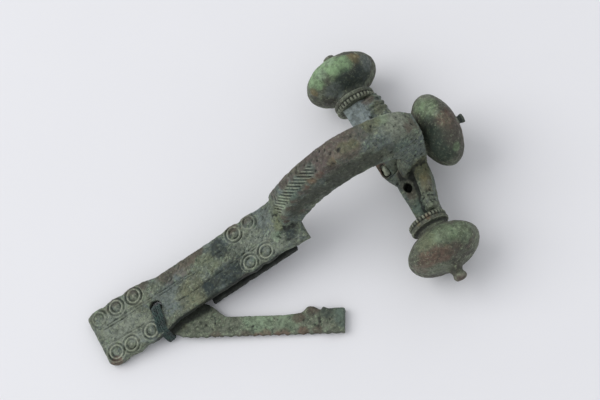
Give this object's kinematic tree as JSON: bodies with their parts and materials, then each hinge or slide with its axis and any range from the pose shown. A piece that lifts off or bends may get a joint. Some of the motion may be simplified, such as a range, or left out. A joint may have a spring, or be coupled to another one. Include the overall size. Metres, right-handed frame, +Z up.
{
  "type": "fibula brooch",
  "caption": "Ancient crossbow brooch of cast bronze with a high arched bow, onion knobs, ring-and-dot foot plate and a loose catch strip tied on; the pin is lost.",
  "frame": {"origin": "middle of the bounding box, on the surface that the brooch lies on", "axes": "+X from the foot's end to the head, +Y to the left knob, +Z up from the surface that it lies on"},
  "size_m": [0.0858, 0.055, 0.028],
  "materials": {
    "casting_bronze": "corroded bronze with grey-green patina, dark blue-grey and brown patches",
    "knob_bronze": "corroded bronze with green and dark blue-grey patina",
    "strip_bronze": "corroded bronze with mint green patina and brown spots",
    "rod_bronze": "broken end of a corroded bronze rod",
    "thread": "dark green twisted sewing thread"
  },
  "bodies": {
    "root": {"brooch_casting": "casting_bronze", "left_knob": "knob_bronze", "right_knob": "knob_bronze", "head_knob": "knob_bronze", "hinge_rod": "rod_bronze", "loose_catch_strip": "strip_bronze", "binding_thread": "thread"}
  },
  "joints": []
}
